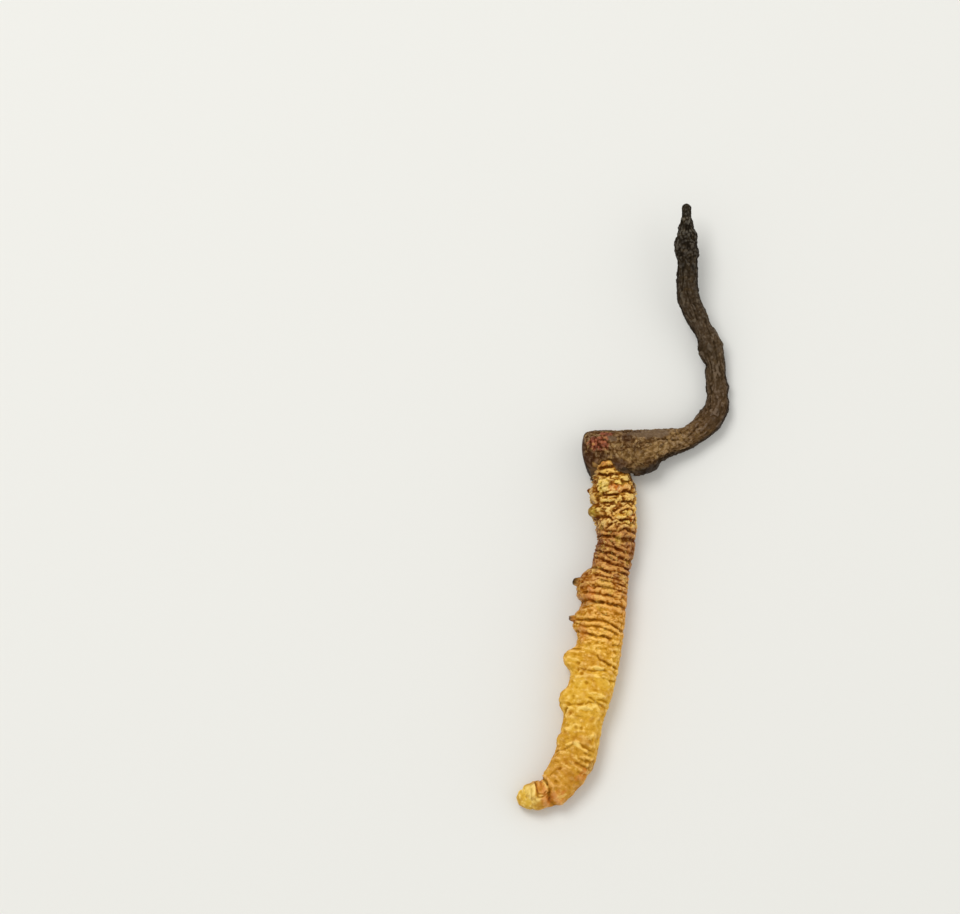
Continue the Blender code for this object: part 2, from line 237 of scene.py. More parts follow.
# Broad swellings of the body, and hollows where the height is below zero, the rump's two lobes
# among them: distance along the body, angle in degrees, height, half length and half angle
LARVA_LUMPS = (
    (4, 5, -0.18, 1.2, 0.5), (8.5, 0, -0.12, 1, 0.5), (6.4, 5, -0.16, 2, 0.5),
    (7, 8, -0.14, 0.5, 0.5), (9.3, 8, -0.2, 0.8, 0.5), (4.15, 172, -0.35, 0.35, 0.5),
    (6.6, 172, -0.42, 0.36, 0.5), (9.2, 165, -0.16, 0.5, 0.5), (9.8, 176, -0.38, 0.9, 0.6),
    (11.5, 176, -0.25, 0.5, 0.5), (15.2, 172, -0.42, 0.6, 0.6), (19.7, 172, -0.25, 0.5, 0.5),
    (28.5, 5, 0.12, 3, 0.6), (39.2, 3, 0.28, 1.3, 0.5), (41.3, 5, 0.26, 2.8, 0.8),
    (44.2, -5, 0.3, 0.8, 0.7), (45.6, 130, 0.16, 0.5, 0.35), (46.1, 95, 0.22, 0.8, 0.7),
    (47.3, 5, 0.2, 0.8, 0.7),
)

# Where the crust begins and ends, how far the skin is drawn in under it, and where the skin of
# the lower body turns calmer
CRUST_START, CRUST_END = (1.2, 3.0), (9.3, 10.6)
CRUST_ROOM = 0.12
CALM_START = (25, 32)

# How far round from the top, in radians, the hidden side's own folds and crust begin
HIDDEN_FOLDS_START = (1.4, 1.9)
HIDDEN_CRUST_START = (1.25, 1.75)

# How wrinkled and how granular the skin is: distance along the body and strength
WRINKLED = (
    0, 0.3, 3, 0.3, 9, 0.6, 11, 1, 16, 1, 20, 0.8, 25, 0.5, 30, 0.3, 36, 0.2, 39, 0.3, 42, 0.2,
    46, 0.2,
)
GRANULAR = (0, 0.3, 9, 0.8, 20, 1, 23, 1, 28, 0.6, 31, 0.3, 36, 0.2, 39, 0.3, 44, 0.4, 45, 0.5)

# Stalk: x, y and height of its axis, and its half width, from the tip to the cap on the head
STALK_STATIONS = (
    (7.8, 37.62, 5.2, 0.56), (7.79, 37.06, 5.2, 0.68), (7.8, 36.06, 5.1, 0.68),
    (7.79, 35.06, 5, 0.92), (7.82, 33.83, 4.85, 1.22), (7.73, 32.59, 4.65, 1.44),
    (7.86, 31.49, 4.45, 1.47), (7.92, 30.37, 4.3, 1.34), (7.93, 28.78, 4, 1.37),
    (7.92, 26.94, 3.6, 1.45), (8.24, 25.36, 3.2, 1.53), (8.99, 23.9, 2.8, 1.53),
    (9.81, 22.32, 2.4, 1.5), (10.5, 20.98, 2.05, 1.55), (10.93, 19.62, 1.8, 1.55),
    (11.31, 18.15, 1.55, 1.45), (11.62, 15.12, 1.24, 1.45), (11.75, 13.35, 1.27, 1.52),
    (11.32, 11.78, 1.5, 1.6), (10.26, 10.39, 1.55, 1.66), (8.85, 9.29, 1.65, 1.6),
    (7.22, 8.32, 1.85, 1.62), (5.48, 7.91, 2.1, 1.85), (3.85, 7.44, 2.3, 2.15),
    (2.22, 6.97, 2.45, 2.45), (0.47, 6.78, 2.5, 2.62), (-1.53, 6.84, 2.5, 2.62),
    (-3.15, 6.89, 2.5, 2.55), (-4.3, 6.76, 2.5, 2.42), (-5.25, 6.66, 2.5, 2.1),
)
STALK_ROWS = 760
STALK_COLUMNS = 120
STALK_END_RADII = (0.45, 0.7)

# How tall the section of both is for its width
FLATNESS = 0.94

# Where the swollen tip begins and ends, where the cap begins, and how far the skin is drawn in
# so that its relief has room
SWELLING_START, SWELLING_END = (1.2, 2.2), (6.2, 8.0)
CAP_START = (30, 34)
STALK_ROOM = 0.10

# Lengthwise wrinkles round the stalk
WRINKLE_COUNT = 5
WRINKLE_DEPTH = 0.045
WRINKLE_TURNS = 1.3

# Lumps on the stalk: distance from its tip, angle round it, height, half length and half angle.
# The last three are the cheek that hangs down to the left of the larva's neck, and the skin over
# the neck on its right.
STALK_LUMPS = (
    (2.9, 180, 0.14, 0.35, 0.6), (5.2, 175, 0.16, 1, 0.6), (12.8, 180, -0.15, 1, 0.6),
    (16.3, 180, -0.3, 1.2, 0.9), (16, 0, -0.26, 1.2, 0.8), (18.6, 5, 0.24, 0.4, 0.4),
    (19.4, 165, 0.2, 0.8, 0.5), (20.8, 165, -0.32, 0.45, 0.6), (22.2, 10, -0.22, 0.7, 0.6),
    (23.8, 5, 0.18, 0.4, 0.35), (24.9, 10, -0.24, 0.5, 0.6), (28, 175, 0.26, 0.35, 0.4),
    (30.8, 175, -0.3, 1.6, 0.6), (37.3, 172, 0.22, 1.8, 0.6), (44.8, 4, 0.45, 0.5, 0.6),
    (44, 8, 1.35, 0.62, 0.6), (40.4, 28, 0.9, 1, 0.5),
)

# The heel that hangs down to the right of the neck, listed the same way, but with steeper ends
HEELS = ((37.75, 4, 0.68, 1.6, 0.6),)

# Cracks and grooves on the stalk, listed like the larva's creases that follow points
STALK_LINES = (
    (0.05, 0.22, (41.5, 118, 40.7, 106, 40.2, 98, 39.8, 100)),
    (0.14, 0.1, (35.4, 104, 34.8, 99, 34.2, 97)),
    (0.08, 0.2, (39.8, 38, 39, 46, 38.1, 40, 37.3, 40, 36.2, 26)),
    (0.1, 0.16, (43.9, 70, 44.2, 45, 43.7, 25)), (0.1, 0.14, (23.7, 127, 25.4, 136, 27.4, 115)),
    (0.08, 0.12, (11, 96, 12.3, 90, 13.6, 92, 14.9, 100)),
    (0.07, 0.12, (15.2, 60, 17, 72, 19, 70)), (0.08, 0.12, (19.5, 120, 21.5, 112, 23, 118)),
    (0.08, 0.12, (30, 95, 32, 84, 33.8, 86)), (0.07, 0.12, (8.2, 120, 9.8, 114, 11, 122)),
)

# Patches of another colour on the cap, listed like the larva's: the red head showing through,
# dark and grey skin, crumbs, and tan skin
HEAD_PATCHES = ((43.1, 104, 1.25, 1.1), (42.2, 136, 0.8, 0.45))
CAP_DARK_PATCHES = (
    (39.5, 124, 1.1, 0.75), (37.6, 8, 1.9, 0.95), (44.5, 40, 0.8, 1.9), (38.6, 150, 1.4, 0.3),
    (45, 110, 0.35, 1.4), (40.6, 50, 0.8, 0.7), (42.6, 66, 0.7, 0.4),
)
CAP_GREY_PATCHES = ((36.6, 136, 2.8, 0.8), (35, 120, 1, 0.4), (41.6, 120, 0.8, 0.5))
CRUMB_PATCHES = ((43.8, 20, 0.75, 1.1),)
TAN_PATCH = (37.6, 68, 3.7, 0.9)

# The edge of the cap round the neck: angle round the neck in degrees, how far along the neck the
# cap reaches there, and how much cap is drawn in beyond that edge
CAP_EDGE = (
    (-180, 3.6, 1.3), (-150, 3.4, 1.3), (-90, 2.8, 1), (-30, 3.2, 0.5), (0, 3.6, 0.4),
    (44, 3.55, 0.8), (63, 3.4, 0.9), (74, 3, 1), (80, 2.3, 1.1), (85, 1.5, 1.1), (95, 1.3, 1.1),
    (122, 1.3, 1.1), (133, 1.5, 1.1), (142, 1.8, 1.2), (150, 2.2, 1.3), (160, 3, 1.3),
    (170, 3.5, 1.3), (180, 3.6, 1.3),
)

# How far beyond that edge the cap's skin takes to sink: angle round the neck and length
SINKING_LENGTHS = (25, 0.1, 42, 0.45, 74, 0.45, 88, 0.1, 125, 0.1, 145, 0.55)

# How far it sinks into the neck, how thick it lies on the neck, and where the neck is
SINKING = 0.7
CAP_THICKNESS = 0.35
NECK_MIDDLE = np.array([-1.6, 5.0])
NECK_REACH = 6.5


def distances_along(stations):
    """How far along the axis each station is."""
    points = np.array(stations)[:, :3]
    steps = np.linalg.norm(np.diff(points, axis=0), axis=1)
    return np.concatenate([[0.0], np.cumsum(steps)])


def curve_through(stations, places):
    """The axis and half width at these distances, on a smooth curve through the stations."""
    values = np.array(stations)
    at = distances_along(stations)
    slopes = np.gradient(values, at, axis=0)
    index = np.clip(np.searchsorted(at, places, side="right") - 1, 0, len(at) - 2)
    gap = (at[index + 1] - at[index])[:, None]
    t = (places - at[index])[:, None] / gap
    start, end = values[index], values[index + 1]
    from_start = (2 * t**3 - 3 * t**2 + 1) * start + (t**3 - 2 * t**2 + t) * gap * slopes[index]
    from_end = (3 * t**2 - 2 * t**3) * end + (t**3 - t**2) * gap * slopes[index + 1]
    return from_start + from_end


def smooth_step(values, low, high):
    """0 below low, 1 above high, and smooth between."""
    t = np.clip((values - low) / (high - low), 0.0, 1.0)
    return t * t * (3 - 2 * t)


def unit(values):
    """The values, kept between 0 and 1."""
    return np.clip(values, 0, 1)


def pairs(numbers):
    """The listed numbers, two by two."""
    return np.array(numbers, dtype=float).reshape(-1, 2)


def read_off(numbers, values, period=None):
    """What the second number of the listed pairs is, where the first has these values."""
    return np.interp(values, *pairs(numbers).T, period=period)


def bump(offset, half_length):
    """1 at the middle, falling smoothly to nothing past the half length."""
    return np.exp(-((offset / half_length) ** 2))


def pad(offset, half_length):
    """Like a bump, with a flatter top and steeper ends."""
    return np.exp(-((offset / half_length) ** 4))


def block(offset, half_length):
    """Like a pad, with ends that are steeper still."""
    return np.exp(-((offset / half_length) ** 8))


def scattered(cells, seed):
    """A repeatable random number from 0 to 1 for each whole-number cell."""
    x, y, z = (cells[..., k].astype(np.int64) for k in range(3))
    mixed = (x * 374761393 + y * 668265263 + z * 1103515245 + seed * 974634777) & 0xFFFFFFFF
    mixed = ((mixed ^ (mixed >> 13)) * 1274126177) & 0xFFFFFFFF
    mixed = ((mixed ^ (mixed >> 16)) * 668265263) & 0xFFFFFFFF
    return (mixed ^ (mixed >> 15)).astype(float) / 0xFFFFFFFF


def scattered_point(cells, seed):
    return np.stack([scattered(cells, seed + k) for k in range(3)], axis=-1)


CLOUD_HEIGHT = 1.6


def cloud(points, seed):
    """Smooth noise of about one unit's size, roughly from -1 to 1."""
    base = np.floor(points)
    inside = points - base
    blend = inside**3 * (inside * (inside * 6 - 15) + 10)
    total = np.zeros(points.shape[:-1])
    for corner in itertools.product((0, 1), repeat=3):
        corner = np.array(corner)
        slope = scattered_point(base + corner, seed) * 2 - 1
        weight = np.prod(np.where(corner == 1, blend, 1 - blend), axis=-1)
        total += weight * np.sum(slope * (inside - corner), axis=-1)
    return total * CLOUD_HEIGHT


def rough(points, seed, layers):
    """Clouds on clouds, each half the size and half the height of the last."""
    total = np.zeros(points.shape[:-1])
    for number in range(layers):
        total += cloud(points * 2**number + 17.3 * number, seed + 5 * number) / 2**number
    return total


def grains(points, seed):
    """For spots scattered one unit apart: the distance to the nearest one, how much further the
    next one is, and a random number for each spot."""
    base = np.floor(points)
    first = np.full(points.shape[:-1], FAR)
    second = first.copy()
    tone = np.zeros(points.shape[:-1])
    for offset in itertools.product((-1, 0, 1), repeat=3):
        cell = base + np.array(offset)
        distance = np.linalg.norm(points - cell - scattered_point(cell, seed), axis=-1)
        nearer = distance < first
        second = np.where(nearer, first, np.minimum(second, distance))
        first = np.where(nearer, distance, first)
        tone = np.where(nearer, scattered(cell, seed + 9), tone)
    return first, second - first, tone


def smoothed(heights, rows_wide, columns_wide):
    """Blurs a grid of heights whose columns join up round the tube."""
    for axis, width, mode in ((0, rows_wide, "edge"), (1, columns_wide, "wrap")):
        reach = int(3 * width) + 1
        padding = [(0, 0), (0, 0)]
        padding[axis] = (reach, reach)
        padded = np.pad(heights, padding, mode=mode)
        weights = np.exp(-0.5 * (np.arange(-reach, reach + 1) / width) ** 2)
        count = heights.shape[axis]
        heights = sum(
            weight * np.take(padded, range(shift, shift + count), axis=axis)
            for shift, weight in enumerate(weights / weights.sum())
        )
    return heights


# The map of the skin, in shares of its size: the margins left and right, and below and above, and
# the end faces' radius and middle
MARGIN_U, MARGIN_V = 0.01, 0.02
END_RADIUS, END_MIDDLE = 0.004, 0.006


def added(name, data):
    """A new object in the scene."""
    made = bpy.data.objects.new(name, data)
    bpy.context.scene.collection.objects.link(made)
    return made


class Tube:
    """A grid of points round a curve: its rows run along the curve and its columns round it."""

    def __init__(self, stations, rows, columns, first_radius, last_radius):
        self.length = distances_along(stations)[-1]
        self.shape = (rows, columns)
        along = np.linspace(0.0, self.length, rows)
        curve = curve_through(stations, along)
        tangent = np.gradient(curve[:, :2], axis=0)
        tangent /= np.linalg.norm(tangent, axis=1)[:, None]
        self.axis = curve[:, None, :3]
        self.side = np.stack([-tangent[:, 1], tangent[:, 0], 0 * tangent[:, 0]], axis=1)[:, None]
        ends = np.minimum(along / first_radius, (self.length - along) / last_radius)
        rounding = np.sqrt(1 - (1 - np.clip(ends, 0.02, 1)) ** 2)
        self.half = np.repeat((curve[:, 3] * rounding)[:, None], columns, axis=1)
        self.rounding = rounding[:, None]
        self.place = np.repeat(along[:, None], columns, axis=1)
        angle = np.arange(columns) * math.tau / columns
        self.angle = np.repeat(angle[None], rows, axis=0)
        self.skin = np.stack(
            [self.half * np.cos(self.angle), self.half * np.sin(self.angle), self.place], axis=-1
        )
        self.row_step = self.length / (rows - 1)
        self.column_step = math.tau * float(np.mean(self.half)) / columns

    def turned(self, degrees):
        """How far each point is turned from this angle, from -pi to pi."""
        return (self.angle - math.radians(degrees) + math.pi) % math.tau - math.pi

    def stretched(self, around, along):
        """Noise coordinates whose clouds and grains are this large round and along the tube."""
        return self.skin / np.array([around, around, along])

    def cloud(self, around, along, seed):
        return cloud(self.stretched(around, along), seed)

    def rough(self, around, along, seed, layers):
        return rough(self.stretched(around, along), seed, layers)

    def points(self, height):
        """The skin's points in millimetres, no lower than the surface that it lies on."""
        height = (height * self.rounding)[..., None]
        half = self.half[..., None]
        across = (half + height) * np.cos(self.angle)[..., None]
        rise = (half * FLATNESS + height) * np.sin(self.angle)[..., None]
        points = self.axis + self.side * across + rise * np.array([0.0, 0.0, 1.0]) - MIDDLE
        points[..., 2] = np.maximum(points[..., 2], 0.0)
        return points

    def hollows(self, height, size):
        """How far each point stands above (or below) the skin round it, over this size."""
        return height - smoothed(height, size / self.row_step, size / self.column_step)

    def build(self, name, points, values):
        """The closed mesh, its values as attributes, and a map of the skin for baking."""
        rows, columns = self.shape
        row, column = np.meshgrid(np.arange(rows - 1), np.arange(columns), indexing="ij")
        after = (column + 1) % columns
        faces = np.stack(
            [
                row * columns + column,
                row * columns + after,
                (row + 1) * columns + after,
                (row + 1) * columns + column,
            ],
            axis=-1,
        ).reshape(-1, 4)
        last = (rows - 1) * columns
        ends = [tuple(range(columns - 1, -1, -1)), tuple(range(last, last + columns))]
        mesh = bpy.data.meshes.new(name)
        mesh.from_pydata((points.reshape(-1, 3) * MM).tolist(), [], faces.tolist() + ends)
        mesh.shade_smooth()
        shared = {
            "place": self.place / self.length,
            "along": self.place,
            "across": self.half * np.cos(self.angle),
            "up": self.half * np.sin(self.angle),
        }
        for key, value in {**shared, **values}.items():
            numbers = np.ascontiguousarray(value, dtype=np.float32).ravel()
            mesh.attributes.new(key, "FLOAT", "POINT").data.foreach_set("value", numbers)
        u = np.stack([column, column + 1, column + 1, column], axis=-1) / columns
        v = np.stack([row, row, row + 1, row + 1], axis=-1) / (rows - 1)
        u = u * (1 - 2 * MARGIN_U) + MARGIN_U
        v = v * (1 - 2 * MARGIN_V) + MARGIN_V
        corners = np.stack([u, v], axis=-1).reshape(-1, 2)
        round_end = np.arange(columns) * math.tau / columns
        small = np.stack([np.cos(round_end), np.sin(round_end)], axis=-1) * END_RADIUS
        last_end = small + (END_MIDDLE, 1 - END_MIDDLE)
        corners = np.concatenate([corners, small + END_MIDDLE, last_end])
        mesh.uv_layers.new(name="OFBake").data.foreach_set("uv", corners.ravel())
        return added(name, mesh)


def fold_profile(off, half_width):
    """A narrow valley with soft shoulders, and skin pushed up a little on both sides of it."""
    valley = 0.72 * bump(off, half_width) + 0.28 * bump(off, 2.6 * half_width)
    return valley - 0.22 * bump(np.abs(off) - 3.0 * half_width, 1.3 * half_width)


def fold_heights(tube):
    """Heights of the folds that cross the body, each wandering a little and of uneven depth, and
    how far each point lies in one of them."""
    degrees = (np.degrees(tube.angle) + 90) % 360 - 90
    place = tube.place + 0.07 * tube.cloud(0.8, 1.2, 11) + 0.04 * tube.cloud(0.35, 0.6, 12)
    strength = 0.95 + 0.7 * tube.cloud(0.9, 0.9, 13) + 0.5 * tube.cloud(0.4, 0.5, 10)
    strength = np.clip(strength, 0.15, 1.35)
    strength *= 1 - read_off((14, 0.45, 18, 0.75), tube.place) * bump(tube.turned(0), 0.40)
    strength *= 1 - 0.4 * bump(tube.turned(180), 0.5)
    height = np.zeros(tube.shape)
    crease = np.zeros(tube.shape)
    for folds, period in ((RINGS, 360), (CREASES, None)):
        for depth, half_width, line in folds:
            share = strength
            if folds is CREASES:
                first, last = line[0], line[-2]
                share = share * smooth_step(degrees, first - 12, first + 4)
                share = share * (1 - smooth_step(degrees, last - 4, last + 12))
            off = place - read_off(line, degrees, period)
            height -= FOLD_SHARE * depth * share * fold_profile(off, half_width)
            crease = np.maximum(crease, min(3 * depth, 1) * share * bump(off, CREASE_WIDTH))
    hidden = smooth_step(np.abs(tube.turned(90)), *HIDDEN_FOLDS_START)
    place = place + 0.15 * tube.cloud(2.2, 3.5, 14)
    for middle, depth, half_width in HIDDEN_FOLDS:
        height -= depth * hidden * strength * fold_profile(place - middle, half_width)
    return height, crease


def line_heights(tube, lines):
    """Heights of creases and ridges that follow points on the skin, and how far each point lies
    in a crease."""
    height = np.zeros(tube.shape)
    crease = np.zeros(tube.shape)
    wander = 0.06 * tube.cloud(0.5, 0.5, 15)
    for depth, half_width, line in lines:
        nearest = np.full(tube.shape, FAR)
        for (start, start_angle), (end, end_angle) in zip(pairs(line), pairs(line)[1:]):
            across = tube.turned(start_angle) * tube.half
            along = tube.place - start
            step = end - start
            step_across = math.radians(end_angle - start_angle) * tube.half
            share = (along * step + across * step_across) / (step**2 + step_across**2 + 1e-6)
            share = unit(share)
            distance = np.hypot(along - share * step, across - share * step_across)
            nearest = np.minimum(nearest, distance)
        height -= depth * bump(nearest + wander, half_width)
        dark = unit(4 * depth) * bump(nearest + wander, CREASE_WIDTH)
        crease = np.maximum(crease, dark)
    return height, crease


def nodule_heights(tube, nodules, ragged):
    """Lumps that push against each other, round or ragged: their height, colour and cover."""
    height = np.zeros(tube.shape)
    tint = np.full(tube.shape, TINTS["brown"])
    cover = np.zeros(tube.shape)
    place = tube.place + ragged * 0.20 * tube.rough(0.55, 0.55, 16, 2)
    shift = ragged * 0.24 * tube.rough(0.55, 0.55, 18, 2)
    uneven = 1 + ragged * 0.35 * tube.cloud(0.5, 0.5, 17)
    for colour_name, lumps in nodules.items():
        for middle, degrees, half_length, half_width, reach in lumps:
            across = (tube.turned(degrees) * tube.half + shift) / half_width
            distance = (((place - middle) / half_length) ** 2 + across**2) / NODULE_SPREAD**2
            dome = reach * uneven * np.sqrt(unit(1 - distance))
            tint = np.where(dome > height, TINTS[colour_name], tint)
            cover = np.maximum(cover, unit(1.5 * (1 - distance)))
            height = np.maximum(height, dome)
    return height, tint, cover


def lump_heights(tube, lumps, profile=bump):
    """Broad lumps and hollows, with this profile along the body."""
    height = np.zeros(tube.shape)
    for middle, degrees, reach, half_length, half_angle in lumps:
        across = bump(tube.turned(degrees), half_angle)
        height += reach * profile(tube.place - middle, half_length) * across
    return height


def leg_heights(tube):
    """Heights of the belly legs' pads and the body's lumps, heights of the legs' tips, and how far
    each point lies in the dark top of a tip."""
    pads = lump_heights(tube, LARVA_LUMPS)
    for middle, reach, half_length in LEG_PADS:
        for leg_angle in LEG_ANGLES:
            off = tube.turned(leg_angle)
            pads += reach * pad(tube.place - middle, half_length) * bump(off, LEG_HALF_ANGLE)
    tips = np.zeros(tube.shape)
    ring = np.zeros(tube.shape)
    for middle, degrees, half_length, half_width, reach in LEG_TIPS:
        across = tube.turned(degrees) * (tube.half + 1.0) / half_width
        distance = np.hypot((tube.place - middle) / half_length, across)
        share = unit(1 - distance**4) ** 0.7
        tips += reach * share - 0.2 * reach * bump(distance, 0.35)
        ring += unit(2 * reach) * smooth_step(share, 0.45, 0.85)
    return pads, tips, unit(ring)


def patch_share(tube, patch, seed):
    """1 inside a patch with a ragged edge, and 0 outside it."""
    middle, degrees, half_length, half_width = patch
    across = tube.turned(degrees) * tube.half / half_width
    distance = np.hypot((tube.place - middle) / half_length, across)
    distance = distance + 0.35 * tube.rough(0.6, 0.6, seed, 2)
    return 1 - smooth_step(distance, 0.7, 1.15)


def patches(tube, listed, seed):
    return np.maximum.reduce([patch_share(tube, patch, seed) for patch in listed])


def larva():
    """The larva's skin, with the values that its colours use."""
    tube = Tube(LARVA_STATIONS, LARVA_ROWS, LARVA_COLUMNS, *LARVA_END_RADII)
    place = tube.place
    pads, tips, ring = leg_heights(tube)
    folds, crease = fold_heights(tube)
    lines, fine_crease = line_heights(tube, LINES)
    height = pads + tips + folds + lines
    for middle, degrees, depth in PITS:
        across = tube.turned(degrees) * tube.half
        height -= depth * bump(np.hypot(place - middle, across), PIT_WIDTH)

    # The crust: the lumps seen from above, and smaller ones like them on the side it lies on
    crust = smooth_step(place, *CRUST_START) * (1 - smooth_step(place, *CRUST_END))
    hidden = smooth_step(np.abs(tube.turned(90)), *HIDDEN_CRUST_START)
    lumps, tint, cover = nodule_heights(tube, NODULES, 1.0)
    legs, leg_tint, leg_cover = nodule_heights(tube, CHEST_LEGS, 0.0)
    tint = np.where(legs > lumps, leg_tint, tint)
    cover = np.maximum(cover, leg_cover)
    # Painted shade: a dark rim round the chest legs, where they meet the body, carried with the
    # creases
    rim = np.where(legs > 0, bump(legs - 0.10, 0.22), 0)
    warp = 0.35 * tube.cloud(0.8, 0.6, 21)[..., None]
    near, _, tone = grains(tube.stretched(1.0, 0.7) + warp, 22)
    under = hidden * crust * unit(1 - (near / 0.85) ** 2) * (0.2 + 0.3 * tone)
    tint = np.where(under > np.maximum(lumps, legs), np.round(tone * 5) / 5, tint)
    cover = np.maximum(cover, unit(4 * under))
    filling = crust * (0.11 + 0.14 * tube.cloud(0.7, 0.45, 25))
    height += np.maximum.reduce([lumps, legs, under, filling]) - CRUST_ROOM * crust

    # Small nodules on and between the lumps, except on the legs
    bare = 1 - unit(5 * leg_cover)
    near, edge, bead_tone = grains(tube.stretched(0.48, 0.36) + warp, 23)
    beads = unit(1 - near**2) * (0.4 + 1.2 * bead_tone) - 0.35 * bump(edge, 0.12)
    beads = 0.10 * beads + 0.05 * tube.rough(0.32, 0.26, 24, 2) - 0.03
    height += crust * bare * beads

    # Soft lumps, fine wrinkles across the body, and granules
    wrinkled = read_off(WRINKLED, place)
    warp = tube.cloud(0.9, 0.9, 30)
    skip = unit(0.5 + 1.3 * tube.cloud(0.8, 0.6, 31))
    wrinkles = skip * 0.11 * bump(tube.cloud(1.3, 0.50, 32) + 0.3 * warp, 0.16)
    skip = unit(0.5 + 1.3 * tube.cloud(0.6, 0.6, 33))
    wrinkles += skip * 0.07 * bump(tube.cloud(0.75, 0.30, 34) + 0.3 * warp, 0.18)
    height -= wrinkled * bare * wrinkles
    height += bare * (0.5 + 0.5 * wrinkled) * 0.13 * tube.cloud(0.75, 0.50, 35)
    granular = read_off(GRANULAR, place)
    near, _, grain_tone = grains(tube.stretched(0.38, 0.30) + 0.3 * warp[..., None], 36)
    height += granular * bare * (0.08 * unit(1 - near**2) * (0.3 + grain_tone) - 0.03)
    calm = smooth_step(place, *CALM_START)
    height += (0.045 - 0.02 * calm) * tube.rough(0.34, 0.28, 37, 2)
    height += 0.08 * calm * tube.cloud(1.0, 0.8, 38)

    detail = height - pads - tips - 0.95 * legs
    hollow = tube.hollows(detail, 0.22) * (5.5 - 1.2 * crust - 1.7 * calm)
    hollow += tube.hollows(detail - 0.3 * lumps, 0.6) * (2.2 + 0.2 * calm)
    values = {
        "hollow": unit(0.5 + hollow),
        "tint": unit(tint + 0.26 * bare * (bead_tone - 0.5)),
        "cover": np.maximum(cover * crust, leg_cover),
        "crust": crust * bare,
        "ring": ring,
        # Painted shade round the chest legs, and along the creases partly their own darker colour
        # and partly painted shade
        "crease": unit(np.maximum.reduce([crease, fine_crease, rim])),
        "orange": patches(tube, ORANGE_PATCHES, 42),
        "pale": patches(tube, PALE_PATCHES, 43),
        "dark": patches(tube, DARK_PATCHES, 44),
        "neck": patch_share(tube, NECK_PATCH, 45),
        # Painted shade: the belly side, on the left, is darkened as if turned from the light
        "belly": smooth_step(-np.cos(tube.angle), 0.5, 1.0) * (1 - smooth_step(place, 20, 30)),
        "stain": unit(0.5 + 0.6 * tube.rough(1.8, 1.5, 41, 3)),
    }
    return tube.build("larva_skin", tube.points(height), values)


def inside_cap(points):
    """Where each point is beside the larva's neck: its distance along the neck, its angle round
    it, how far it stands out of the neck's skin, and its offset from the neck's axis."""
    along = np.linspace(0.0, 9.0, 90)
    curve = curve_through(LARVA_STATIONS, along)
    tangent = np.gradient(curve[:, :2], axis=0)
    tangent /= np.linalg.norm(tangent, axis=1)[:, None]
    away = points[:, None, :2] + MIDDLE[:2] - curve[None, :, :2]
    nearest = np.argmin(np.linalg.norm(away, axis=-1), axis=1)
    offset = points + MIDDLE - curve[nearest, :3]
    side = np.stack([-tangent[nearest, 1], tangent[nearest, 0]], axis=1)
    across = np.sum(offset[:, :2] * side, axis=1)
    rise = offset[:, 2] / FLATNESS
    out = np.hypot(across, rise) - curve[nearest, 3]
    return along[nearest], np.arctan2(rise, across), out, offset


def fit_cap_to_neck(points):
    """Draws the cap's skin in where the neck comes out of it, and lifts its edge there. Gives the
    points, and how near each of them is to that edge."""
    flat = points.reshape(-1, 3).copy()
    close = np.linalg.norm(flat[:, :2] + MIDDLE[:2] - NECK_MIDDLE, axis=1) < NECK_REACH
    chosen = flat[close]
    place, angle, out, offset = inside_cap(chosen)
    degrees = np.degrees(angle)
    angles, reaches, depths = np.array(CAP_EDGE).T
    edge = np.interp(degrees, angles, reaches)
    edge = edge + 0.22 * cloud(np.stack([angle * 3.0, place * 0, place * 0 + 4.0], axis=1), 51)
    depth = np.interp(degrees, angles, depths)
    beyond = smooth_step(place, edge - 0.08, edge + read_off(SINKING_LENGTHS, degrees))
    inward = (out + SINKING) * beyond * (1 - smooth_step(out, depth, depth + 0.15))

    # It lies thinner on the neck's upper side, where it is seen against the head
    above = smooth_step(degrees, 15, 35) * (1 - smooth_step(degrees, 120, 140))
    wanted = np.maximum(CAP_THICKNESS - 0.09 * above - out, 0)
    lip = 0.16 * bump(place - edge + 0.25, 0.22) * (1 - smooth_step(out, 0.6, 1.4))
    lip = lip * (1 - 0.7 * above)
    excess = np.maximum(out - 0.30 - 0.8 * np.maximum(edge - place, 0), 0) * above
    move = ((wanted + lip - excess) * (1 - beyond) - inward) * (place > 0.05)
    length = np.maximum(np.linalg.norm(offset, axis=1), 0.2)
    flat[close] = chosen + offset * (move / length)[:, None]
    flat[:, 2] = np.maximum(flat[:, 2], 0.0)
    shade = np.zeros(len(flat))
    shade[close] = bump(place - edge, 0.35) * (1 - smooth_step(out, 0.7, 1.5))
    return flat.reshape(points.shape), shade.reshape(points.shape[:-1])


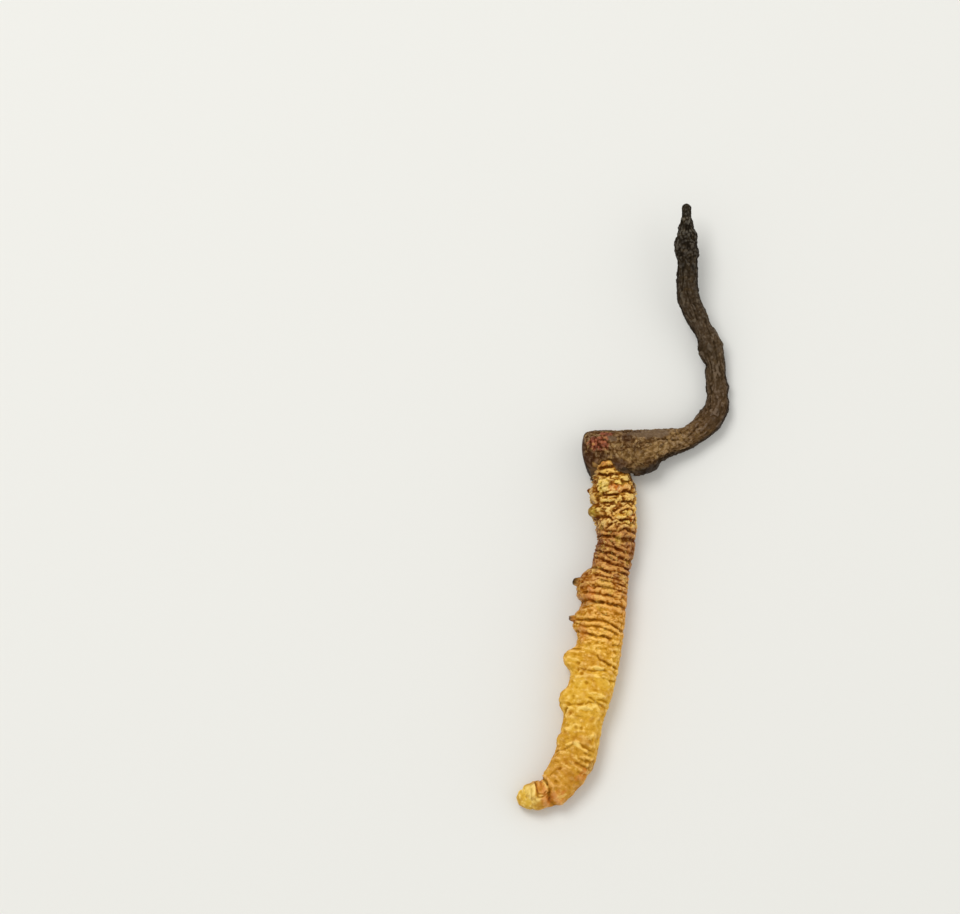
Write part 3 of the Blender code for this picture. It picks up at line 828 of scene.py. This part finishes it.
def stalk():
    """The skin of the stalk and its cap, with the values that its colours use."""
    tube = Tube(STALK_STATIONS, STALK_ROWS, STALK_COLUMNS, *STALK_END_RADII)
    place = tube.place
    fade = unit(place / 4.0)
    turn = WRINKLE_TURNS * math.tau * place / tube.length
    height = WRINKLE_DEPTH * fade * np.cos(WRINKLE_COUNT * tube.angle + turn)
    height += 0.06 * fade * tube.cloud(1.6, 1.6, 61)
    height += lump_heights(tube, STALK_LUMPS) + lump_heights(tube, HEELS, block) - STALK_ROOM
    lumps = height.copy()
    height += line_heights(tube, STALK_LINES)[0]

    # Fibres along the stalk, shallow broken creases, and scattered flakes
    fibre = tube.rough(0.30, 1.8, 62, 3)
    height += fade * 0.022 * fibre
    skip = unit(0.3 + 1.3 * tube.cloud(0.9, 1.8, 63))
    height -= fade * skip * 0.035 * bump(tube.cloud(0.8, 2.6, 64), 0.20)
    height += fade * 0.05 * tube.rough(0.7, 0.8, 60, 3)
    flakes = smooth_step(tube.cloud(0.6, 0.9, 65), 0.34, 0.46)
    height += fade * 0.08 * flakes
    height += 0.035 * tube.rough(0.26, 0.34, 66, 2)

    # Granular skin on the swollen tip, over the head, on the cap and in its crumbs
    swelling = smooth_step(place, *SWELLING_START) * (1 - smooth_step(place, *SWELLING_END))
    head = patches(tube, HEAD_PATCHES, 71)
    dark = patches(tube, CAP_DARK_PATCHES, 72)
    crumbs = patches(tube, CRUMB_PATCHES, 74)
    cap = smooth_step(place, *CAP_START)
    near, _, tone = grains(tube.stretched(0.36, 0.36), 67)
    beads = unit(1 - (near / 0.8) ** 2) - 0.4
    height += (0.03 + 0.09 * swelling + 0.12 * head + 0.04 * cap + 0.16 * crumbs) * beads
    height += cap * 0.05 * tube.rough(0.42, 0.42, 70, 2)
    height += 0.14 * swelling * tube.cloud(0.9, 0.9, 68)

    # Painted shade: its sides are darker, as if turned from the light, less so on the cap's side
    # away from the larva, and further up on the outside of the bend
    side = smooth_step(-np.sin(tube.angle), -0.62, -0.10)
    side = side * (1 - 0.6 * cap * smooth_step(-np.cos(tube.angle), 0.0, 0.3))
    bend_side_shade = smooth_step(place, 19, 23) * smooth_step(np.cos(tube.angle), 0.3, 0.6)
    side = np.maximum(side, bend_side_shade * smooth_step(-np.sin(tube.angle), -0.72, -0.35))

    points, lip = fit_cap_to_neck(tube.points(height))
    hollow = tube.hollows(height, 0.2) * 7.0 + tube.hollows(height - 0.7 * lumps, 0.7) * 2.4
    values = {
        "hollow": unit(0.5 + hollow),
        "fibre": unit(0.5 + 0.5 * fibre),
        "head": head,
        "dark": dark,
        "grey": patches(tube, CAP_GREY_PATCHES, 75),
        "crumbs": crumbs,
        "tan": patch_share(tube, TAN_PATCH, 73),
        "tone": tone,
        # Painted shade along the cap's edge round the neck
        "lip": lip,
        # Painted shade on the stalk's sides
        "side": side,
        "stain": unit(0.5 + 0.6 * tube.rough(1.6, 3.0, 69, 3)),
    }
    return tube.build("stalk_skin", points, values)


def colour(code):
    """A colour for a shader, from the usual six letters and digits."""
    values = [int(code[k:k + 2], 16) / 255 for k in (0, 2, 4)]
    return [v / 12.92 if v <= 0.04045 else ((v + 0.055) / 1.055) ** 2.4 for v in values] + [1.0]


class Material:
    """A short way to write a material's nodes."""

    def __init__(self, name):
        self.material = bpy.data.materials.new(name)
        self.material.use_nodes = True
        self.tree = self.material.node_tree
        self.shader = self.tree.nodes["Principled BSDF"]

    def add(self, kind, output=0, settings=None, **inputs):
        """A node's output, once its inputs are fed: i3 is the fourth, others go by their names."""
        node = self.tree.nodes.new(kind)
        for key, value in (settings or {}).items():
            setattr(node, key, value)
        for key, value in inputs.items():
            self.feed(node.inputs[int(key[1:]) if key[1:].isdigit() else key], value)
        return node.outputs[output]

    def feed(self, socket, value):
        if isinstance(value, bpy.types.NodeSocket):
            self.tree.links.new(value, socket)
        else:
            socket.default_value = value

    def attribute(self, name):
        return self.add("ShaderNodeAttribute", 2, {"attribute_name": name})

    def ramp(self, factor, stops):
        """Colours along a factor, from text that lists positions and colours."""
        output = self.add("ShaderNodeValToRGB", Fac=factor)
        elements = output.node.color_ramp.elements
        for number, stop in enumerate(stops.split(", ")):
            position, code = stop.split()
            element = elements[number] if number < 2 else elements.new(float(position))
            element.position = float(position)
            element.color = colour(code)
        return output

    def range(self, value, low, high, to_low=0.0, to_high=1.0):
        return self.add(
            "ShaderNodeMapRange", 0, {"interpolation_type": "SMOOTHSTEP"},
            i0=value, i1=low, i2=high, i3=to_low, i4=to_high,
        )

    def mix(self, factor, first, second):
        return self.add("ShaderNodeMix", 2, {"data_type": "RGBA"}, i0=factor, i6=first, i7=second)

    def maths(self, operation, first, second=0.0):
        return self.add("ShaderNodeMath", 0, {"operation": operation}, i0=first, i1=second)

    def noise(self, scale, detail, roughness):
        """Noise in millimetres across, up and along the tube, so that it follows its bends."""
        across, up, along = (self.attribute(name) for name in ("across", "up", "along"))
        skin = self.add("ShaderNodeCombineXYZ", X=across, Y=up, Z=along)
        return self.add(
            "ShaderNodeTexNoise", Vector=skin, Scale=scale, Detail=detail, Roughness=roughness
        )

    def paint(self, over, where, strength):
        """Lays a colour over the base, where an attribute or a value says so."""
        where = self.attribute(where) if isinstance(where, str) else where
        over = colour(over) if isinstance(over, str) else over
        self.base = self.mix(self.maths("MULTIPLY", where, strength), self.base, over)

    def finish(self, roughness, shine, relief, strength, depth):
        """Feeds the shader, with grain under this relief."""
        grain = self.noise(9.0, 3.0, 0.65)
        grain = self.add("ShaderNodeBump", Height=grain, Strength=0.5, Distance=0.00006)
        normal = self.add(
            "ShaderNodeBump", Height=relief, Strength=strength, Distance=depth, Normal=grain
        )
        names = ("Base Color", "Roughness", "Specular IOR Level", "Normal")
        for name, value in zip(names, (self.base, roughness, shine, normal)):
            self.feed(self.shader.inputs[name], value)
        return self

    def use(self, piece):
        piece.data.materials.append(self.material)


def larva_material():
    m = Material("larva_skin")
    place, hollow = m.attribute("place"), m.attribute("hollow")
    crevice = m.ramp(
        place,
        "0 643200, 0.18 663200, 0.22 5A2800, 0.3 602800, 0.36 743800, 0.42 965C08, 0.55 B07810, "
        "0.64 BE881A, 0.78 A67010, 0.9 A26A14, 0.93 AC7420, 1 B48228",
    )
    middle = m.ramp(
        place,
        "0 A87020, 0.1 B27A22, 0.19 9E6218, 0.245 7E460E, 0.29 8C5010, 0.335 A46416, 0.4 BC781C, "
        "0.47 CE8E22, 0.56 D8A02C, 0.63 DEAA32, 0.74 D49E2E, 0.8 CA922A, 0.9 CA8E2C, "
        "0.92 C68228, 0.97 DCB040",
    )
    crest = m.ramp(
        place,
        "0 E4AC50, 0.1 F8C864, 0.19 DC9A44, 0.245 B67A34, 0.3 CA8C3C, 0.335 DA9E4A, 0.41 EAAA4C, "
        "0.5 F8BE54, 0.62 FCD062, 0.76 F8C85C, 0.84 F2BA56, 0.92 E8AA52, 0.97 FADA7C",
    )
    # Partly the skin's own colour and partly painted shade and highlight: the hollows take the
    # darker crevice colour and the crests the paler crest colour
    m.base = m.mix(m.range(hollow, 0.0, 0.46), crevice, middle)
    m.base = m.mix(m.range(hollow, 0.5, 0.96), m.base, crest)

    # The crust's lumps, each of its own colour, with painted shade in the hollows between them and
    # a painted highlight on their tops
    tint = m.ramp(
        m.attribute("tint"),
        "0 D87014, 0.16 9A601A, 0.4 B07828, 0.6 D69E28, 0.8 EAC04C, 1 BA9E34",
    )
    lump = m.mix(m.range(hollow, 0.08, 0.50), crevice, tint)
    # Painted highlight on the lumps' tops
    lump = m.mix(m.maths("MULTIPLY", m.range(hollow, 0.60, 1.0), 0.55), lump, colour("FFE08A"))
    m.paint(lump, "cover", 0.85)

    # Patches of other colours, stains and mottling, and painted shade and highlights: on the belly
    # side, in the creases, round the chest legs, and in the crust's hollows and on its crests
    stain = m.attribute("stain")
    m.paint("B87424", m.range(stain, 0.55, 0.9), 0.35)
    m.paint("ECC250", m.range(stain, 0.42, 0.1), 0.30)
    m.paint("CA742C", "orange", 0.55)
    m.paint("F4D474", "pale", 0.55)
    m.paint("6C3808", "dark", 0.45)
    # Painted shade on the belly side, on the left
    m.paint(crevice, "belly", 0.5)
    calm = m.range(place, 0.52, 0.68)
    crusty = m.attribute("crust")
    mottle = m.mix(calm, m.noise(2.3, 3.0, 0.75), m.noise(1.1, 3.0, 0.65))
    m.paint(crevice, m.range(mottle, 0.50, 0.34), 0.55)
    m.paint("FCD878", m.range(mottle, 0.54, 0.68), 0.45)
    speckle = m.noise(5.0, 4.0, 0.7)
    share = m.maths("SUBTRACT", 0.35, m.range(calm, 0, 1, 0, 0.2))
    m.paint(crevice, m.range(speckle, 0.46, 0.30), share)
    # Painted shade and painted highlights on the crust: dark specks in its hollows and bright
    # glints on its crests
    glint_and_shade_specks = m.noise(4.0, 2.0, 0.8)
    share = m.maths("MULTIPLY", m.range(hollow, 0.62, 0.30, 0, 0.55), crusty)
    m.paint(crevice, m.range(glint_and_shade_specks, 0.52, 0.42), share)
    share = m.maths("MULTIPLY", m.range(hollow, 0.50, 0.85, 0, 0.5), crusty)
    m.paint("FCD67C", m.range(glint_and_shade_specks, 0.50, 0.60), share)
    m.paint("4A3020", "neck", 0.68)
    # Along the creases, partly the skin's own darker colour and partly painted shade; round the
    # chest legs, painted shade
    m.paint("562400", "crease", 0.6)
    m.paint("241404", "ring", 0.92)
    roughness = m.range(hollow, 0.2, 0.8, 0.64, 0.46)
    roughness = m.maths("ADD", m.range(speckle, 0.3, 0.7, 0.12, -0.12), roughness)
    shine = m.range(hollow, 0.3, 0.9, 0.05, 0.45)
    strength = m.maths("SUBTRACT", m.range(crusty, 0, 1, 0.45, 0.75), m.range(calm, 0, 1, 0, 0.2))
    return m.finish(roughness, shine, speckle, strength, 0.00009)


def stalk_material():
    m = Material("fungus_stalk")
    place, hollow = m.attribute("place"), m.attribute("hollow")
    crevice = m.ramp(
        place,
        "0 16110A, 0.18 19130B, 0.42 302415, 0.6 342514, 0.8 422A10, 0.92 40240A, 1 381C06",
    )
    middle = m.ramp(
        place,
        "0 252016, 0.13 261F15, 0.2 322719, 0.36 463727, 0.48 4C3B27, 0.62 503B25, 0.72 6C4F2C, "
        "0.84 70512D, 0.94 644622, 1 54341A",
    )
    crest = m.ramp(
        place,
        "0 5E584A, 0.13 40382C, 0.22 483E2F, 0.38 60513E, 0.5 62503C, 0.64 665240, 0.74 8E7250, "
        "0.86 967448, 1 866444",
    )
    # Partly the skin's own colour and partly painted shade and highlight: the hollows take the
    # crevice colour and the crests the crest colour
    m.base = m.mix(m.range(hollow, 0.02, 0.48), crevice, middle)
    m.base = m.mix(m.range(hollow, 0.5, 0.98), m.base, crest)
    m.paint("8C6C3C", "tan", 0.45)
    tone, cap = m.attribute("tone"), m.range(place, 0.60, 0.80, 0.05, 0.6)
    m.paint("A08050", m.range(tone, 0.65, 0.95), cap)
    m.paint(crevice, m.range(tone, 0.30, 0.05), cap)
    fibre = m.attribute("fibre")
    m.paint(crest, m.range(fibre, 0.6, 0.9), 0.18)
    m.paint(crevice, m.range(fibre, 0.4, 0.12), 0.22)
    stain = m.attribute("stain")
    m.paint(crevice, m.range(stain, 0.55, 0.95), 0.45)
    mottle = m.noise(2.0, 3.0, 0.7)
    m.paint(crevice, m.range(mottle, 0.50, 0.34), 0.5)
    m.paint("AE946A", m.range(mottle, 0.55, 0.70), cap)
    speckle = m.noise(5.0, 4.0, 0.7)
    m.paint("B49C74", m.range(speckle, 0.58, 0.74), cap)
    m.paint("6C5844", "grey", 0.8)
    m.paint("381F10", "dark", 0.65)
    crumbs = m.ramp(tone, "0.2 5A3C1C, 0.7 A87E3C")
    m.paint(crumbs, "crumbs", 0.8)
    m.paint(crevice, m.range(speckle, 0.46, 0.32), 0.45)
    # Painted shade on the stalk's sides
    m.paint("1E150C", "side", 0.85)

    # The larva's red-brown head, where it shows through the cap
    red = m.ramp(tone, "0 5A2814, 0.4 86402A, 0.75 A45A38, 1 BC8244")
    # Painted shade: a darker red-brown in the head's hollows
    red = m.mix(m.range(hollow, 0.5, 0.1), red, colour("4A2210"))
    m.paint(red, "head", 0.8)
    # Painted shade along the cap's edge round the neck
    m.paint("6A4C28", "lip", 0.5)
    roughness = m.range(speckle, 0.3, 0.7, 0.8, 0.6)
    shine = m.range(hollow, 0.3, 0.9, 0.03, 0.3)
    return m.finish(roughness, shine, speckle, 0.5, 0.0001)


# Half the floor's width in metres
FLOOR = 3


def floor():
    """The pale surface that it lies on."""
    mesh = bpy.data.meshes.new("floor")
    corners = [(-FLOOR, -FLOOR, 0), (FLOOR, -FLOOR, 0), (FLOOR, FLOOR, 0), (-FLOOR, FLOOR, 0)]
    mesh.from_pydata(corners, [], [(0, 1, 2, 3)])
    made = added("floor", mesh)
    m = Material("floor")
    m.shader.inputs["Base Color"].default_value = colour("E2E2DE")
    m.shader.inputs["Roughness"].default_value = 0.6
    m.use(made)


NEAR_WHITE = (1.0, 0.995, 0.98)


def area_light(name, position, target, size, power, tint):
    data = bpy.data.lights.new(name, "AREA")
    data.shape = "DISK"
    data.size = size
    data.energy = power
    data.color = tint
    made = added(name, data)
    made.location = position
    made.rotation_euler = (Vector(target) - Vector(position)).to_track_quat("-Z", "Y").to_euler()


def lights():
    """A pale sky, a key light from the upper left and a wide fill from the right."""
    scene = bpy.context.scene
    scene.world = bpy.data.worlds.new("studio")
    scene.world.use_nodes = True
    background = scene.world.node_tree.nodes["Background"]
    background.inputs["Color"].default_value = (1.0, 0.992, 0.97, 1.0)
    background.inputs["Strength"].default_value = 0.66
    area_light("key", (-0.30, 0.35, 0.82), (0, 0, 0), 0.5, 3.8, NEAR_WHITE)
    area_light("fill", (0.95, 0.0, 0.5), (0, 0, 0), 1.4, 3.0, NEAR_WHITE)
    scene.view_settings.view_transform = "Standard"


# The photo is 960 pixels wide, at 8 pixels to the millimetre of the surface. Lengths in metres,
# but for the sensor's width in millimetres.
CAMERA_ELEVATION = math.radians(82)
CAMERA_DISTANCE = 1.5
VIEW_WIDTH = 0.120
VIEW_MIDDLE = (-0.01789, 0.006624, 0.0)
SENSOR_WIDTH = 36


def camera():
    data = bpy.data.cameras.new("camera")
    data.sensor_width = SENSOR_WIDTH
    data.lens = SENSOR_WIDTH * CAMERA_DISTANCE / VIEW_WIDTH
    data.clip_end = 10
    made = added("camera", data)
    back = Vector((0, -math.cos(CAMERA_ELEVATION), math.sin(CAMERA_ELEVATION)))
    made.location = Vector(VIEW_MIDDLE) + back * CAMERA_DISTANCE
    made.rotation_euler = (math.pi / 2 - CAMERA_ELEVATION, 0, 0)
    bpy.context.scene.camera = made


def main():
    for piece, material, node in (
        (larva(), larva_material(), "larva"),
        (stalk(), stalk_material(), "stalk"),
    ):
        material.use(piece)
        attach(piece, "root")
        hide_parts(node)
    floor()
    lights()
    camera()


main()
